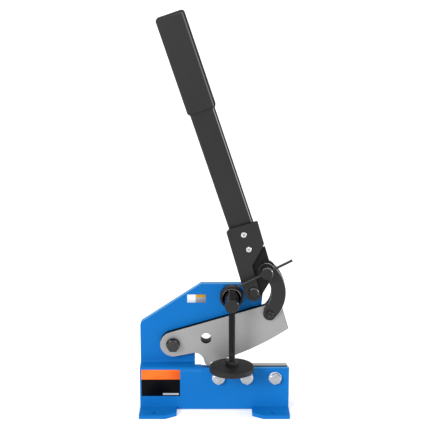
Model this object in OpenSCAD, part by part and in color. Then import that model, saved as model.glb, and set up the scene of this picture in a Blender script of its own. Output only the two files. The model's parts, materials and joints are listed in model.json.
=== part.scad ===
// Bench plate shear: a bent-plate frame, a bolted lower blade, and a pivoted upper blade that a
// forked lever pulls down through a pair of crescent links. A screw hold-down stands in front.
// Origin: centre of the four base bolt holes, on the bench. +X runs to the cutting end,
// -Y to the user and +Z up. Rest pose: handle raised and blades open.

/* [Frame] */
// Overall width of the base
base_w = 234; // [224:1:250]
// Thickness of the frame plates
plate_t = 6; // [5:0.5:7]
// Height of the bent ledge and of the front plate's lower face
ledge_z = 70; // [64:1:71]
// Height of the left edge, where the slope begins
side_h = 135.5; // [132:0.5:150]
// Height of the flat top edge
top_h = 199; // [194:1:201]
// Where the slope meets the flat top, along X
slope_end_x = -21; // [-30:1:-10]
// Radius of the upper left corner
corner_r = 8; // [4:1:14]
// Left wall of the throat, along X
throat_x = -31; // [-34:0.5:-29]
// Height of the throat above the ledge, at its left wall
throat_h = 22; // [19:1:24]
// Length of ledge left standing in front of the throat
ledge_stub = 10.5; // [6:0.5:13]
// Inside radius of the bends at the feet and along the ledge's front
bend_r = 1; // [0.5:0.5:3]
// Inside radius of the bend between the ledge and the tall part
ledge_r = 4.5; // [3:0.5:4.5]
// How far the rear plate's top stands below the ledge in the throat
rear_drop = 10; // [8:1:16]
// Radius of the frame round the fulcrum
boss_r = 15.5; // [13:0.5:17]

/* [Feet] */
// Width of each foot
foot_w = 58; // [50:1:70]
// Length of each foot, from the plate's outer face
foot_len = 36.2; // [33:0.2:42]
// Width and length of the cut on a foot's inner corner
foot_cut = [17, 11.5];
// Diameter of the bench bolt holes
foot_hole_d = 10; // [8:0.5:12]
// From the plate's outer face to the hole row
foot_hole_set = 24.35; // [23:0.05:25]
// From the side edge of the base to the hole
foot_hole_in = 25; // [20:1:30]
// Gap from the bench to the plate between the feet
skirt_lift = 1.2; // [0.8:0.1:2.4]

/* [Blades] */
// Thickness of the upper blade
blade_t = 10; // [9:0.5:11]
// Thickness of the lower blade
low_blade_t = 11; // [10:0.5:12]
// Length of the lower blade
low_blade_len = 127; // [120:1:129]
// Height of the lower blade
low_blade_h = 32; // [30:1:36]
// Left end of the lower blade, along X
low_blade_x = -13; // [-15:0.5:-11]
// How far the lower blade stands above the front plate
edge_rise = 2; // [1:0.5:3]
// Diameter of the lower blade's bolts
blade_bolt_d = 10; // [8:1:12]
// Across the flats of those bolts
blade_bolt_af = 16; // [14:1:18]
// From the lower blade's end to its first bolt
blade_bolt_in = 19.4; // [17:0.2:22]
// Spacing of those bolts
blade_bolt_pitch = 44.4; // [40:0.2:46]
// From the lower blade's edge down to its bolts
blade_bolt_drop = 18; // [16:0.5:18]
// Rise of the upper blade's top edge at rest, in degrees
blade_lean = 16.6; // [16:0.1:17.4]
// From the blade pivot to the blade's square end
blade_reach = 181; // [176:0.5:186]
// Radius of the blade's round end, and from the pivot to its top edge
blade_end_r = 20.5; // [19:0.5:22]
// From the pivot's line down to the tip of the cutting edge
tip_drop = 26.6; // [25:0.2:28]
// From the pivot's line down to the heel of the cutting edge
heel_drop = 46; // [44:0.2:47]
// Radius of the bowed cutting edge
edge_r = 400; // [340:5:500]
// Radius of the scoop ahead of the heel
scoop_r = 15; // [13:0.5:16]
// Place of the scoop's centre on the blade, along and across from the pivot
scoop_at = [23.9, -37.9];
// Diameter of the hole that shears round bar
bar_hole_d = 16.6; // [12:0.2:17]
// Place of that hole on the blade, along and across from the pivot
bar_hole_at = [52.5, -5.2];

/* [Pivots] */
// Place of the blade pivot
pivot_at = [-65, 103];
// Diameter of the blade pivot bolt
pivot_d = 12; // [10:1:14]
// Across the flats of the blade pivot bolt
pivot_af = 18; // [17:1:22]
// Outer diameter of the washer under its head
pivot_washer_d = 22; // [21:0.5:26]
// Outer diameter of the bush that the blade turns on
bush_d = 20; // [18:1:22]
// Place of the fulcrum
fulcrum_at = [61, 190.5];
// Diameter of the fulcrum pin
fulcrum_d = 12; // [10:1:13]
// Across the flats of the fulcrum pin's nut
fulcrum_af = 19; // [17:1:20]
// Place of the link's upper pin on the lever, across and along from the fulcrum
crank_at = [28, 27.3];
// Place of the link's lower pin on the blade, along and across from the blade pivot
drop_at = [159.8, 6.3];
// Diameter of both link pins
link_pin_d = 8; // [7:0.5:9]

/* [Lever] */
// Lean of the lever plates from upright at rest, in degrees
lever_lean = 16.2; // [15.6:0.1:17]
// Thickness of the outer lever plates
lever_t = 6; // [5:0.5:7]
// Width of the lever plates
lever_w = 50.8; // [49:0.2:53]
// Radius of the lever's eyes
lever_end_r = 14.4; // [13.8:0.1:15]
// From the fulcrum to the top edge of the lever plates
lever_h = 107.5; // [104:0.5:114]
// Cut corner at the upper left of the lever plates
lever_cut = [5.8, 4];
// From the fulcrum to the right-hand edge of the leg
leg_u = 9.3; // [8.5:0.1:9.6]
// Heights at which the cut-away begins and ends
waist_v = [41.5, 70];
// Width of the rear lever plate at its round upper end
strap_w = 30; // [26:1:32]
// Height above the fulcrum of the middle of the two handle bolts
handle_bolt_v = 81.2; // [80:0.2:83]
// Spacing of the handle bolts along the tube
handle_bolt_pitch = 24.4; // [20:0.2:25]
// Diameter of the handle bolts
handle_bolt_d = 5; // [4:1:6]
// Across the flats of the handle bolts
handle_bolt_af = 8; // [7.5:0.5:10]

/* [Handle] */
// Extra lean of the handle over the lever plates, in degrees
handle_tilt = 2.4; // [1:0.2:4]
// Width of the handle tube
tube_w = 39; // [36:1:41]
// Wall of the handle tube
tube_wall = 2; // [1.5:0.5:3]
// Corner radius of the handle tube
tube_r = 4; // [3:0.5:5]
// From the middle of the bolts down to the tube's lower end
tube_tail = 17.5; // [16.6:0.1:19]
// From the middle of the bolts to the end of the grip
handle_reach = 362.5; // [300:0.5:420]
// Length of the grip
grip_len = 152.5; // [120:0.5:170]
// Wall of the grip's sleeve
grip_wall = 3; // [2:0.5:4]
// Thickness of the grip's closed end
grip_cap = 4; // [3:0.5:6]

/* [Links] */
// Thickness of each link plate
link_t = 6; // [5:0.5:6]
// Radius of the link's upper eye
link_top_r = 13; // [12:0.2:13.4]
// Radius of the link's lower eye
link_low_r = 10.2; // [9.6:0.1:12]
// Radius of the crescent's hollow
hollow_r = 34; // [31:0.5:36]
// From the line of the pins back to the hollow's centre
hollow_off = 28.6; // [27:0.2:31]
// How far the hollow's centre stands above the middle of the pins
hollow_rise = 2; // [0:0.5:4]
// Radius of the crescent's back
bow_r = 57; // [54:1:62]
// How far both eyes stand proud of the crescent's back
eye_proud = 0.3; // [0.2:0.1:0.6]
// Across the flats of the link bolt's head
link_head_af = 10.6; // [10:0.2:12]
// Across the flats of the nuts on both link pins
link_nut_af = 13; // [12:0.5:14]

/* [Lock screw] */
// Diameter and length of the knurled head
lock_head = [19.7, 16];
// Diameter of the sliding bar
bar_d = 4; // [3.5:0.5:6]
// Length of the sliding bar
bar_len = 94; // [84:1:98]
// Rise of the sliding bar at rest, in degrees
bar_rise = 27; // [25:0.5:29]
// How far the bar stands out further to the left
bar_out = 3; // [0:0.5:6]

/* [Hold-down] */
// Place of the hold-down's stud
clamp_at = [26.8, 180.6];
// Outer diameter of the cup
cup_d = 36.4; // [32:0.2:38]
// Depth of the cup
cup_len = 15; // [12:0.5:18]
// Diameter of the cross-drilled barrel
barrel_d = 21.6; // [18:0.2:23]
// From the frame to the barrel's front face
barrel_reach = 59; // [57:0.5:66]
// From the barrel's front face back to the rod
rod_set = 7.5; // [7.2:0.1:9]
// Diameter of the rod
rod_d = 10; // [8:0.5:11]
// Diameter of the stud's shank
stud_d = 12; // [10:1:12]
// Across the flats of the stud's nut
stud_af = 19; // [17:1:20]
// Height of the rod's upper end
rod_top = 205; // [200:0.5:216]
// Diameter of the pad
pad_d = 69; // [60:1:69]
// Thickness of the pad
pad_t = 9; // [8:0.5:12]
// Gap between the pad and the lower blade at rest
pad_lift = 2.5; // [1:0.5:8]
// Across the flats of the nut on the pad
pad_nut_af = 17; // [16:0.5:20]
// Height of that nut
pad_nut_h = 8.5; // [7.5:0.5:15]

/* [Travel] */
// Swing of the handle from open to closed, in degrees
handle_angle = 88; // [80:1:88]
// Swing of the upper blade over that travel, in degrees
blade_angle = 19.1; // [18.6:0.1:19.4]
// Turn of the links on the blade over that travel, in degrees
link_angle = -11; // [-12:0.5:-10]

/* [Hidden] */
$fn = 64;

// Radial running clearance of pins and bushes
fit = 0.08;
// Clearance between faces that slide past each other
run_gap = 0.2;
// Clearance between the two cutting faces
shear_gap = 0.1;
// Overrun of every cut
over = 1;
// Corner break on heads and pin ends, and on hexagons
chamfer = 1;
hex_chamfer = 0.6;

// Depths of the layers, from the front plate's face to the back of the rear plate
frame_depth = 3 * plate_t + low_blade_t + shear_gap + blade_t + run_gap;
y_front = -frame_depth / 2;
y_seat = y_front + plate_t;
y_shear = y_seat + low_blade_t;
y_blade = y_shear + shear_gap;
y_tall = y_blade + blade_t + run_gap;
y_mid = y_tall + plate_t;
y_back = y_mid + plate_t;
y_link = y_blade - run_gap - link_t;
y_lever = y_blade - lever_t;
y_fork = y_back + run_gap;
fork_w = y_fork - y_blade;

// Places of the linkage's pins at rest
pin_a = fulcrum_at + turned(crank_at, lever_lean);
pin_b = pivot_at + turned(drop_at, blade_lean);
link_len = norm(pin_a - pin_b);
link_lean = atan2(pin_b.x - pin_a.x, pin_a.y - pin_b.y);

// Heads, nuts and washers take their heights from the thread they belong to
head_share = 0.65;
nut_share = 0.85;
thin_nut_share = 0.65;
washer_share = 2;
washer_t = 2.5;
blade_washer_t = 2;
link_washer_t = 1.6;
tail_len = 3;
fulcrum_head = [16, 5];
handle_head_h = 3.5;
// Turn of each bolt head from corners upright, as left by the spanner, in degrees
pivot_turn = 30;
blade_bolt_turns = [2, -6, 9];
handle_bolt_turns = [16, 34];
// Dimple forged into the smaller heads: its mouth and depth over the flats
dimple_shares = [0.5, 0.1];

// Frame arm: underside ahead of the throat, and its nose
throat_top = ledge_z + throat_h;
arm_flat = 36;
arm_nose = [5, 50];
// Gap between the ledge's stub and the cutting plane
stub_gap = 0.7;

// Slot in the core plate: spare room round the pin along its path
slot_gap = 0.25;
path_count = 12;

// Knurls of the lock screw
knurl_count = 14;
knurl_r = 1.1;
lock_washer_t = 0.4;
// Swollen ends of the sliding bar
bar_end_d = 4.9;
bar_end_len = 1.6;

// Hold-down details
cup_wall = 4;
cup_floor = 6;
rod_flange = [17, 3];
rod_pin_d = 4;
rod_pin_z = 20;
pad_chamfer = 1.5;

// Point p turned by angle a, counter-clockwise as seen from the front
function turned(p, a) = [p.x * cos(a) - p.y * sin(a), p.x * sin(a) + p.y * cos(a)];
function ray(r, a) = [r * cos(a), r * sin(a)];
function unit(p) = p / norm(p);
// Point where a line from q touches a circle of radius r about zero
function touch(q, r, side) = ray(r, atan2(q.y, q.x) + side * acos(r / norm(q)));

// Where the links carry their upper pin in the lever's own frame, at share f of the travel
function pin_slip(f) =
    let (blade_a = f * blade_angle,
         link_a = blade_a + f * link_angle,
         low = pivot_at + turned(pin_b - pivot_at, -blade_a),
         high = low + turned(pin_a - pin_b, -link_a))
    turned(turned(high - fulcrum_at, f * handle_angle), -lever_lean);

slip_path = [for (i = [0:path_count]) pin_slip(i / path_count)];
slot_near = slip_path[path_count];
slip_reach = [for (p = slip_path) norm(p - slot_near)];
slot_far = slip_path[search(max(slip_reach), slip_reach)[0]];
slot_dir = unit(slot_far - slot_near);
slip_side = max([for (p = slip_path) abs(cross(slot_dir, p - slot_near))]);
slot_r = link_pin_d / 2 + slip_side + slot_gap;

// Plate in the XZ plane, from y0 towards the back
module plate(y0, t) {
    translate([0, y0 + t, 0]) rotate([90, 0, 0]) linear_extrude(t) children();
}

// Outline in the YZ plane, run from x0 to x1
module run_x(x0, x1) {
    translate([x0, 0, 0]) rotate([90, 0, 90]) linear_extrude(x1 - x0) children();
}

// Round bar along Y at p in the XZ plane
module rod_y(p, y0, len, d) {
    translate([p.x, y0 + len, p.y]) rotate([90, 0, 0]) cylinder(d = d, h = len);
}

// Hexagon with both ends broken, along Y at p, turned from having its corners up and down
module hex_y(p, y0, len, af, turn = 0) {
    corner = af / cos(30);
    translate([p.x, y0, p.y]) rotate([-90, 0, 0]) intersection() {
        rotate(30 + turn) cylinder(d = corner, h = len, $fn = 6);
        rotate_extrude() polygon([[0, 0], [af / 2, 0], [corner / 2, hex_chamfer],
                                  [corner / 2, len - hex_chamfer], [af / 2, len], [0, len]]);
    }
}

module nut_y(p, y0, len, af, d) {
    difference() {
        hex_y(p, y0, len, af);
        rod_y(p, y0 - over, len + 2 * over, d + 2 * fit);
    }
}

module ring_y(p, y0, len, d, bore) {
    difference() {
        rod_y(p, y0, len, d);
        rod_y(p, y0 - over, len + 2 * over, bore);
    }
}

// Bolt along Y with its hexagon head to the front
module bolt_y(p, y0, head_h, af, len, d, turn = 0) {
    hex_y(p, y0 - head_h, head_h, af, turn);
    rod_y(p, y0 - over, len + over, d);
}

// Cone that sinks a dimple into a bolt head whose face is at y0
module dimple_y(p, y0, af) {
    r = af * dimple_shares[0] / 2;
    sink = af * dimple_shares[1];
    translate([p.x, y0 - sink, p.y]) rotate([-90, 0, 0])
        cylinder(r1 = 1.25 * r, r2 = 0.75 * r, h = 2 * sink);
}

// Bar of thickness t along Y, its outline drawn round two circles
module bar_y(p, rp, q, rq, y0, t) {
    base = atan2(q.y - p.y, q.x - p.x);
    lift = acos((rp - rq) / norm(q - p));
    rod_y(p, y0, t, 2 * rp);
    rod_y(q, y0, t, 2 * rq);
    plate(y0, t) polygon([p + ray(rp, base + lift), q + ray(rq, base + lift),
                          q + ray(rq, base - lift), p + ray(rp, base - lift)]);
}

// Quarter of a bend about c, with its quarter picked by the signs sx and sy
module bend_2d(c, inner, sx, sy) {
    r = inner + plate_t;
    translate(c) intersection() {
        difference() {
            circle(r);
            circle(inner);
        }
        mirror([sx < 0 ? 1 : 0, 0]) mirror([0, sy < 0 ? 1 : 0]) square(r);
    }
}

module round_rect(w, d, r) {
    square([w - 2 * r, d], center = true);
    square([w, d - 2 * r], center = true);
    for (x = [-1, 1], y = [-1, 1]) translate([x * (w / 2 - r), y * (d / 2 - r)]) circle(r);
}

module blade_frame() {
    translate([pivot_at.x, 0, pivot_at.y]) rotate([0, -blade_lean, 0]) children();
}

module lever_frame() {
    translate([fulcrum_at.x, 0, fulcrum_at.y]) rotate([0, -lever_lean, 0]) children();
}

module link_frame() {
    translate([pin_b.x, 0, pin_b.y]) rotate([0, -link_lean, 0]) children();
}

// Middle of the handle bolts in the lever's frame. They stand in line along the tube.
handle_mid = [lever_w / 2 - lever_end_r, handle_bolt_v];
handle_bolt_at = [for (s = [-1, 1]) handle_mid + turned([0, s * handle_bolt_pitch / 2], handle_tilt)];

// Handle's own frame: zero is midway between its bolts, Z runs along the tube
module handle_frame() {
    lever_frame() translate([handle_mid.x, (y_blade + y_fork) / 2, handle_mid.y])
        rotate([0, -handle_tilt, 0]) children();
}

// Arm and slope of both frame plates above height z0
module arm_2d(z0) {
    left = -base_w / 2;
    slope = atan2(top_h - side_h, slope_end_x - left);
    bite = corner_r * tan((90 - slope) / 2);
    nose_top = fulcrum_at + [boss_r, 0];
    difference() {
        union() {
            polygon([[left, z0], [left, side_h - bite], [left, side_h] + ray(bite, slope), [slope_end_x, top_h],
                     [fulcrum_at.x, top_h], nose_top, nose_top - arm_nose,
                     [throat_x + arm_flat, throat_top], [throat_x, throat_top],
                     [throat_x, z0]]);
            translate([left + corner_r, side_h - bite]) circle(corner_r);
            translate(fulcrum_at) circle(boss_r);
        }
        translate(pivot_at) circle(d = pivot_d + 2 * fit);
        translate(fulcrum_at) circle(d = fulcrum_d + 2 * fit);
        translate(clamp_at) circle(d = stud_d + 2 * fit);
        translate(pivot_at + turned(bar_hole_at, blade_lean)) circle(d = bar_hole_d);
    }
}

// Feet and lower face of the front plate; the rear plate has their mirror image
module feet() {
    lift = plate_t + bend_r;
    x_side = base_w / 2;
    for (side = [-1, 1]) {
        a = side < 0 ? -x_side : x_side - foot_w;
        run_x(a, a + foot_w) bend_2d([y_front - bend_r, lift], bend_r, 1, -1);
        difference() {
            mirror([side < 0 ? 0 : 1, 0, 0]) linear_extrude(plate_t) polygon([
                [-x_side, y_front - bend_r], [-x_side, y_front - foot_len],
                [-x_side + foot_w - foot_cut.x, y_front - foot_len],
                [-x_side + foot_w, y_front - foot_len + foot_cut.y],
                [-x_side + foot_w, y_front - bend_r]]);
            translate([side * (x_side - foot_hole_in), y_front - foot_hole_set, -over])
                cylinder(d = foot_hole_d, h = plate_t + 2 * over);
        }
    }
}

// Upright face over the feet, up to height z1, with its skirt between them
module face_2d(z1) {
    lift = plate_t + bend_r;
    x_side = base_w / 2;
    polygon([[-x_side, lift], [-x_side, z1], [x_side, z1], [x_side, lift],
             [x_side - foot_w, lift], [x_side - foot_w, skirt_lift],
             [-x_side + foot_w, skirt_lift], [-x_side + foot_w, lift]]);
}

function blade_bolt_at(i) = [low_blade_x + blade_bolt_in + i * blade_bolt_pitch,
                             ledge_z + edge_rise - blade_bolt_drop];

module blade_bolt_holes(y0, len, d) {
    for (i = [0:2]) rod_y(blade_bolt_at(i), y0, len, d);
}

module front_plate() {
    fold = bend_r + plate_t;
    stub_end = throat_x + ledge_stub;
    color("dodgerblue") difference() {
        union() {
            plate(y_tall, plate_t) arm_2d(ledge_z + ledge_r);
            feet();
            plate(y_front, plate_t) difference() {
                face_2d(ledge_z);
                translate([-base_w, ledge_z - fold]) square([base_w + stub_end, fold + over]);
            }
            run_x(-base_w / 2, stub_end) {
                bend_2d([y_seat + bend_r, ledge_z - fold], bend_r, -1, 1);
                bend_2d([y_tall - ledge_r, ledge_z + ledge_r], ledge_r, 1, -1);
                translate([y_seat + bend_r, ledge_z - plate_t])
                    square([y_tall - y_seat - bend_r - ledge_r, plate_t]);
            }
        }
        translate([throat_x, y_shear - stub_gap, ledge_z - fold - over])
            cube([ledge_stub + over, frame_depth, fold + ledge_r + 2 * over]);
        blade_bolt_holes(y_front - over, plate_t + 2 * over, blade_bolt_d + 2 * fit);
    }
}

module rear_plate() {
    color("dodgerblue") {
        plate(y_mid, plate_t) {
            arm_2d(ledge_z - rear_drop - over);
            face_2d(ledge_z - rear_drop);
        }
        mirror([0, 1, 0]) feet();
    }
}

module lower_blade() {
    z_low = ledge_z + edge_rise - low_blade_h;
    color("silver") difference() {
        translate([low_blade_x, y_seat, z_low])
            cube([low_blade_len, low_blade_t, low_blade_h]);
        blade_bolt_holes(y_seat - over, low_blade_t + 2 * over, blade_bolt_d + 2 * fit);
    }
}

module blade_bolts() {
    color("gainsboro") for (i = [0:2])
        bolt_y(blade_bolt_at(i), y_front - blade_washer_t, blade_bolt_d * head_share,
               blade_bolt_af, blade_washer_t + plate_t + low_blade_t - chamfer, blade_bolt_d,
               blade_bolt_turns[i]);
}

module blade_washers() {
    color("gainsboro") for (i = [0:2])
        ring_y(blade_bolt_at(i), y_front - blade_washer_t, blade_washer_t,
               blade_bolt_d * washer_share, blade_bolt_d + 2 * fit);
}

// Bowed bar with a round tail and a scoop ahead of its heel
module upper_blade() {
    heel = [scoop_at.x + scoop_r, -heel_drop];
    tip = [blade_reach, -tip_drop];
    tail_end = scoop_at + [0, scoop_r];
    half = norm(tip - heel) / 2;
    up = turned(unit(tip - heel), 90);
    edge_at = (tip + heel) / 2 + up * sqrt(edge_r * edge_r - half * half);
    color("silver") blade_frame() difference() {
        union() {
            rod_y([0, 0], y_blade, blade_t, 2 * blade_end_r);
            plate(y_blade, blade_t) polygon([[0, blade_end_r], [heel.x, blade_end_r],
                [heel.x, scoop_at.y], scoop_at, tail_end, touch(tail_end, blade_end_r, -1),
                [0, 0]]);
            plate(y_blade, blade_t) intersection() {
                translate([heel.x, -2 * heel_drop])
                    square([blade_reach - heel.x, 2 * heel_drop + blade_end_r]);
                translate(edge_at) circle(edge_r, $fn = 256);
            }
        }
        blade_hole(scoop_at, 2 * scoop_r);
        blade_hole([0, 0], bush_d + 2 * fit);
        blade_hole(bar_hole_at, bar_hole_d);
        blade_hole(drop_at, link_pin_d + 2 * fit);
    }
}

module blade_hole(p, d) {
    rod_y(p, y_blade - over, blade_t + 2 * over, d);
}

module pivot_bush() {
    color("dimgray") ring_y(pivot_at, y_blade - run_gap, blade_t + 2 * run_gap, bush_d,
                            pivot_d + 2 * fit);
}

module pivot_washer() {
    color("dimgray") ring_y(pivot_at, y_blade - run_gap - washer_t, washer_t,
                            pivot_washer_d, pivot_d + 2 * fit);
}

module pivot_bolt() {
    y0 = y_blade - run_gap - washer_t;
    nut_h = pivot_d * nut_share;
    color("dimgray") bolt_y(pivot_at, y0, pivot_d * head_share, pivot_af,
                            y_back + nut_h + tail_len - y0, pivot_d, pivot_turn);
}

module pivot_nut() {
    color("dimgray") nut_y(pivot_at, y_back, pivot_d * nut_share, pivot_af, pivot_d);
}

// Bores for the fulcrum pin and the handle bolts
module lever_bores(y0, len) {
    rod_y([0, 0], y0, len, fulcrum_d + 2 * fit);
    handle_bolt_rods(y0, len, handle_bolt_d + 2 * fit);
}

// Front plate: a broad head over the handle's end, and a leg down to the fulcrum
module lever_front_plate() {
    left = -lever_end_r;
    right = left + lever_w;
    color("#3c3c3e") lever_frame() difference() {
        union() {
            plate(y_lever, lever_t) intersection() {
                circle(lever_end_r);
                translate([left, left]) square([leg_u - left, 2 * lever_end_r]);
            }
            plate(y_lever, lever_t) polygon([[left, 0], [left, lever_h - lever_cut.y],
                [left + lever_cut.x, lever_h], [right, lever_h], [right, waist_v[1]],
                [leg_u, waist_v[0]], [leg_u, 0]]);
        }
        lever_bores(y_lever - over, lever_t + 2 * over);
    }
}

// Rear plate: a round-ended strap from the fulcrum to the upper handle bolt
module lever_rear_plate() {
    color("#3c3c3e") lever_frame() difference() {
        bar_y([0, 0], lever_end_r, handle_bolt_at[1], strap_w / 2, y_fork, lever_t);
        lever_bores(y_fork - over, lever_t + 2 * over);
    }
}

// Core plate between the links; its slot lets the links' pin find its own path
module lever_core_plate() {
    left = -lever_end_r;
    core_h = handle_mid.y - tube_tail - tube_w / 2 * sin(handle_tilt) - run_gap;
    color("#343436") lever_frame() difference() {
        union() {
            bar_y([0, 0], lever_end_r, crank_at, lever_end_r, y_blade, blade_t);
            plate(y_blade, blade_t) polygon([[left, 0], [left, core_h],
                [left + lever_w, core_h], [left + lever_w, crank_at.y], crank_at, [0, 0]]);
        }
        lever_bores(y_blade - over, blade_t + 2 * over);
        bar_y(slot_near, slot_r, slot_far, slot_r, y_blade - over, blade_t + 2 * over);
    }
}

module fulcrum_pin() {
    nut_h = fulcrum_d * nut_share;
    y_end = y_fork + lever_t + nut_h + tail_len;
    color("#2e2e30") {
        translate([fulcrum_at.x, y_lever - fulcrum_head[1], fulcrum_at.y]) rotate([-90, 0, 0])
            rotate_extrude() polygon([[0, 0], [fulcrum_head[0] / 2 - chamfer, 0],
                [fulcrum_head[0] / 2, chamfer], [fulcrum_head[0] / 2, fulcrum_head[1]],
                [0, fulcrum_head[1]]]);
        rod_y(fulcrum_at, y_lever - over, y_end - y_lever + over, fulcrum_d);
    }
}

module fulcrum_nut() {
    color("#2e2e30") nut_y(fulcrum_at, y_fork + lever_t, fulcrum_d * nut_share,
                           fulcrum_af, fulcrum_d);
}

module handle_bolt_rods(y0, len, d) {
    for (p = handle_bolt_at) rod_y(p, y0, len, d);
}

module handle_tube() {
    tube_len = tube_tail + handle_reach - grip_cap;
    color("#39393b") difference() {
        handle_frame() translate([0, 0, -tube_tail]) linear_extrude(tube_len) difference() {
            round_rect(tube_w, fork_w, tube_r);
            round_rect(tube_w - 2 * tube_wall, fork_w - 2 * tube_wall, tube_r - tube_wall / 2);
        }
        lever_frame()
            handle_bolt_rods(y_blade - over, fork_w + 2 * over, handle_bolt_d + 2 * fit);
    }
}

// Moulded sleeve with a closed, rounded end
module handle_grip() {
    w = tube_w + 2 * grip_wall;
    d = fork_w + 2 * grip_wall;
    r = tube_r + grip_wall / 2;
    color("#303032") handle_frame() difference() {
        hull() for (x = [-1, 1], y = [-1, 1], z = [handle_reach - grip_len + r,
                                                   handle_reach - r])
            translate([x * (w / 2 - r), y * (d / 2 - r), z]) sphere(r, $fn = 32);
        translate([0, 0, handle_reach - grip_len - over])
            linear_extrude(grip_len + over - grip_cap)
                round_rect(tube_w, fork_w, tube_r);
    }
}

module handle_bolts() {
    color("gainsboro") lever_frame() for (i = [0:1]) {
        p = handle_bolt_at[i];
        difference() {
            bolt_y(p, y_lever, handle_head_h, handle_bolt_af,
                   fork_w + 2 * lever_t + handle_bolt_d * nut_share + tail_len, handle_bolt_d,
                   handle_bolt_turns[i]);
            dimple_y(p, y_lever - handle_head_h, handle_bolt_af);
        }
    }
}

module handle_nuts() {
    color("gainsboro") lever_frame() for (p = handle_bolt_at)
        nut_y(p, y_fork + lever_t, handle_bolt_d * nut_share, handle_bolt_af, handle_bolt_d);
}

// Crescent link in its own frame: zero is its lower pin, Z runs to its upper pin
module link(y0) {
    high = [0, link_len];
    low = [0, 0];
    reach_high = bow_r - link_top_r + eye_proud;
    reach_low = bow_r - link_low_r + eye_proud;
    bow_y = (reach_low * reach_low - reach_high * reach_high + link_len * link_len)
        / (2 * link_len);
    bow_at = [-sqrt(reach_low * reach_low - bow_y * bow_y), bow_y];
    hollow_at = [-hollow_off, link_len / 2 + hollow_rise];
    far = 2 * bow_r;
    cheek_a = 20;
    color("#3a3a3c") link_frame() difference() {
        union() {
            rod_y(high, y0, link_t, 2 * link_top_r);
            rod_y(low, y0, link_t, 2 * link_low_r);
            plate(y0, link_t) intersection() {
                polygon([high, high + ray(link_top_r - eye_proud, 180 + cheek_a),
                         hollow_at + (hollow_r - eye_proud) * unit(high - hollow_at),
                         hollow_at + (hollow_r - eye_proud) * unit(low - hollow_at),
                         ray(link_low_r - eye_proud, 180 - cheek_a), low,
                         bow_at + far * unit(low - bow_at), bow_at + [far, 0],
                         bow_at + far * unit(high - bow_at)]);
                translate(bow_at) circle(bow_r, $fn = 128);
            }
        }
        rod_y(hollow_at, y0 - over, link_t + 2 * over, 2 * hollow_r);
        rod_y(high, y0 - over, link_t + 2 * over, link_pin_d + 2 * fit);
        rod_y(low, y0 - over, link_t + 2 * over, link_pin_d + 2 * fit);
    }
}

module front_link() {
    link(y_link);
}

module rear_link() {
    link(y_tall);
}

module link_bolt() {
    head_h = link_pin_d * head_share;
    nut_h = link_pin_d * nut_share;
    color("#2e2e30") difference() {
        bolt_y(pin_b, y_link, head_h, link_head_af,
               y_tall + link_t + link_washer_t + nut_h + tail_len - y_link, link_pin_d);
        dimple_y(pin_b, y_link - head_h, link_head_af);
    }
}

module link_washer() {
    color("#2e2e30") ring_y(pin_b, y_tall + link_t, link_washer_t,
                            link_pin_d * washer_share, link_pin_d + 2 * fit);
}

module link_nut() {
    color("#2e2e30") nut_y(pin_b, y_tall + link_t + link_washer_t, link_pin_d * nut_share,
                           link_nut_af, link_pin_d);
}

// Knurled head, cross-drilled for the sliding bar, on the links' upper pin
module lock_screw() {
    r = lock_head[0] / 2;
    y0 = y_link - lock_washer_t - lock_head[1];
    nut_h = link_pin_d * thin_nut_share;
    color("#2a2a2c") {
        difference() {
            translate([pin_a.x, y0, pin_a.y]) rotate([-90, 0, 0]) rotate_extrude()
                polygon([[0, 0], [r - chamfer, 0], [r, chamfer], [r, lock_head[1] - chamfer],
                         [r - chamfer, lock_head[1]], [0, lock_head[1]]]);
            for (i = [0:knurl_count - 1])
                rod_y(pin_a + ray(r + knurl_r / 2, (i + 0.5) * 360 / knurl_count), y0 - over,
                      lock_head[1] + 2 * over, 2 * knurl_r);
            translate([pin_a.x, y0 + lock_head[1] / 2, pin_a.y]) rotate([0, 90 - bar_rise, 0])
                cylinder(d = bar_d + 2 * fit, h = 2 * lock_head[0], center = true);
        }
        rod_y(pin_a, y0 + lock_head[1] - chamfer,
              y_tall + link_t + nut_h + tail_len - y0 - lock_head[1] + chamfer, link_pin_d);
    }
}

module lock_nut() {
    color("#2e2e30") nut_y(pin_a, y_tall + link_t, link_pin_d * thin_nut_share,
                           link_nut_af, link_pin_d);
}

// Sliding bar with swollen ends that keep it in the head
module tommy_bar() {
    y_bar = y_link - lock_washer_t - lock_head[1] / 2;
    r = bar_d / 2;
    er = bar_end_d / 2;
    h = bar_len / 2;
    color("#2a2a2c") translate([pin_a.x, y_bar, pin_a.y]) rotate([0, 90 - bar_rise, 0])
        translate([0, 0, -bar_out]) rotate_extrude() polygon([
            [0, -h], [r, -h], [er, -h + bar_end_len / 2], [r, -h + bar_end_len],
            [r, h - bar_end_len], [er, h - bar_end_len / 2], [r, h], [0, h]]);
}

// Cup that the barrel seats in
module clamp_cup() {
    color("#2c2c2e") translate([clamp_at.x, y_tall - cup_len, clamp_at.y]) rotate([-90, 0, 0])
        rotate_extrude() polygon([
            [stud_d / 2 + fit, cup_len - cup_floor], [cup_d / 2 - cup_wall, cup_len - cup_floor],
            [cup_d / 2 - cup_wall, 0], [cup_d / 2 - chamfer, 0], [cup_d / 2, chamfer],
            [cup_d / 2, cup_len], [stud_d / 2 + fit, cup_len]]);
}

rod_at = [clamp_at.x, y_tall - barrel_reach + rod_set];

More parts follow.
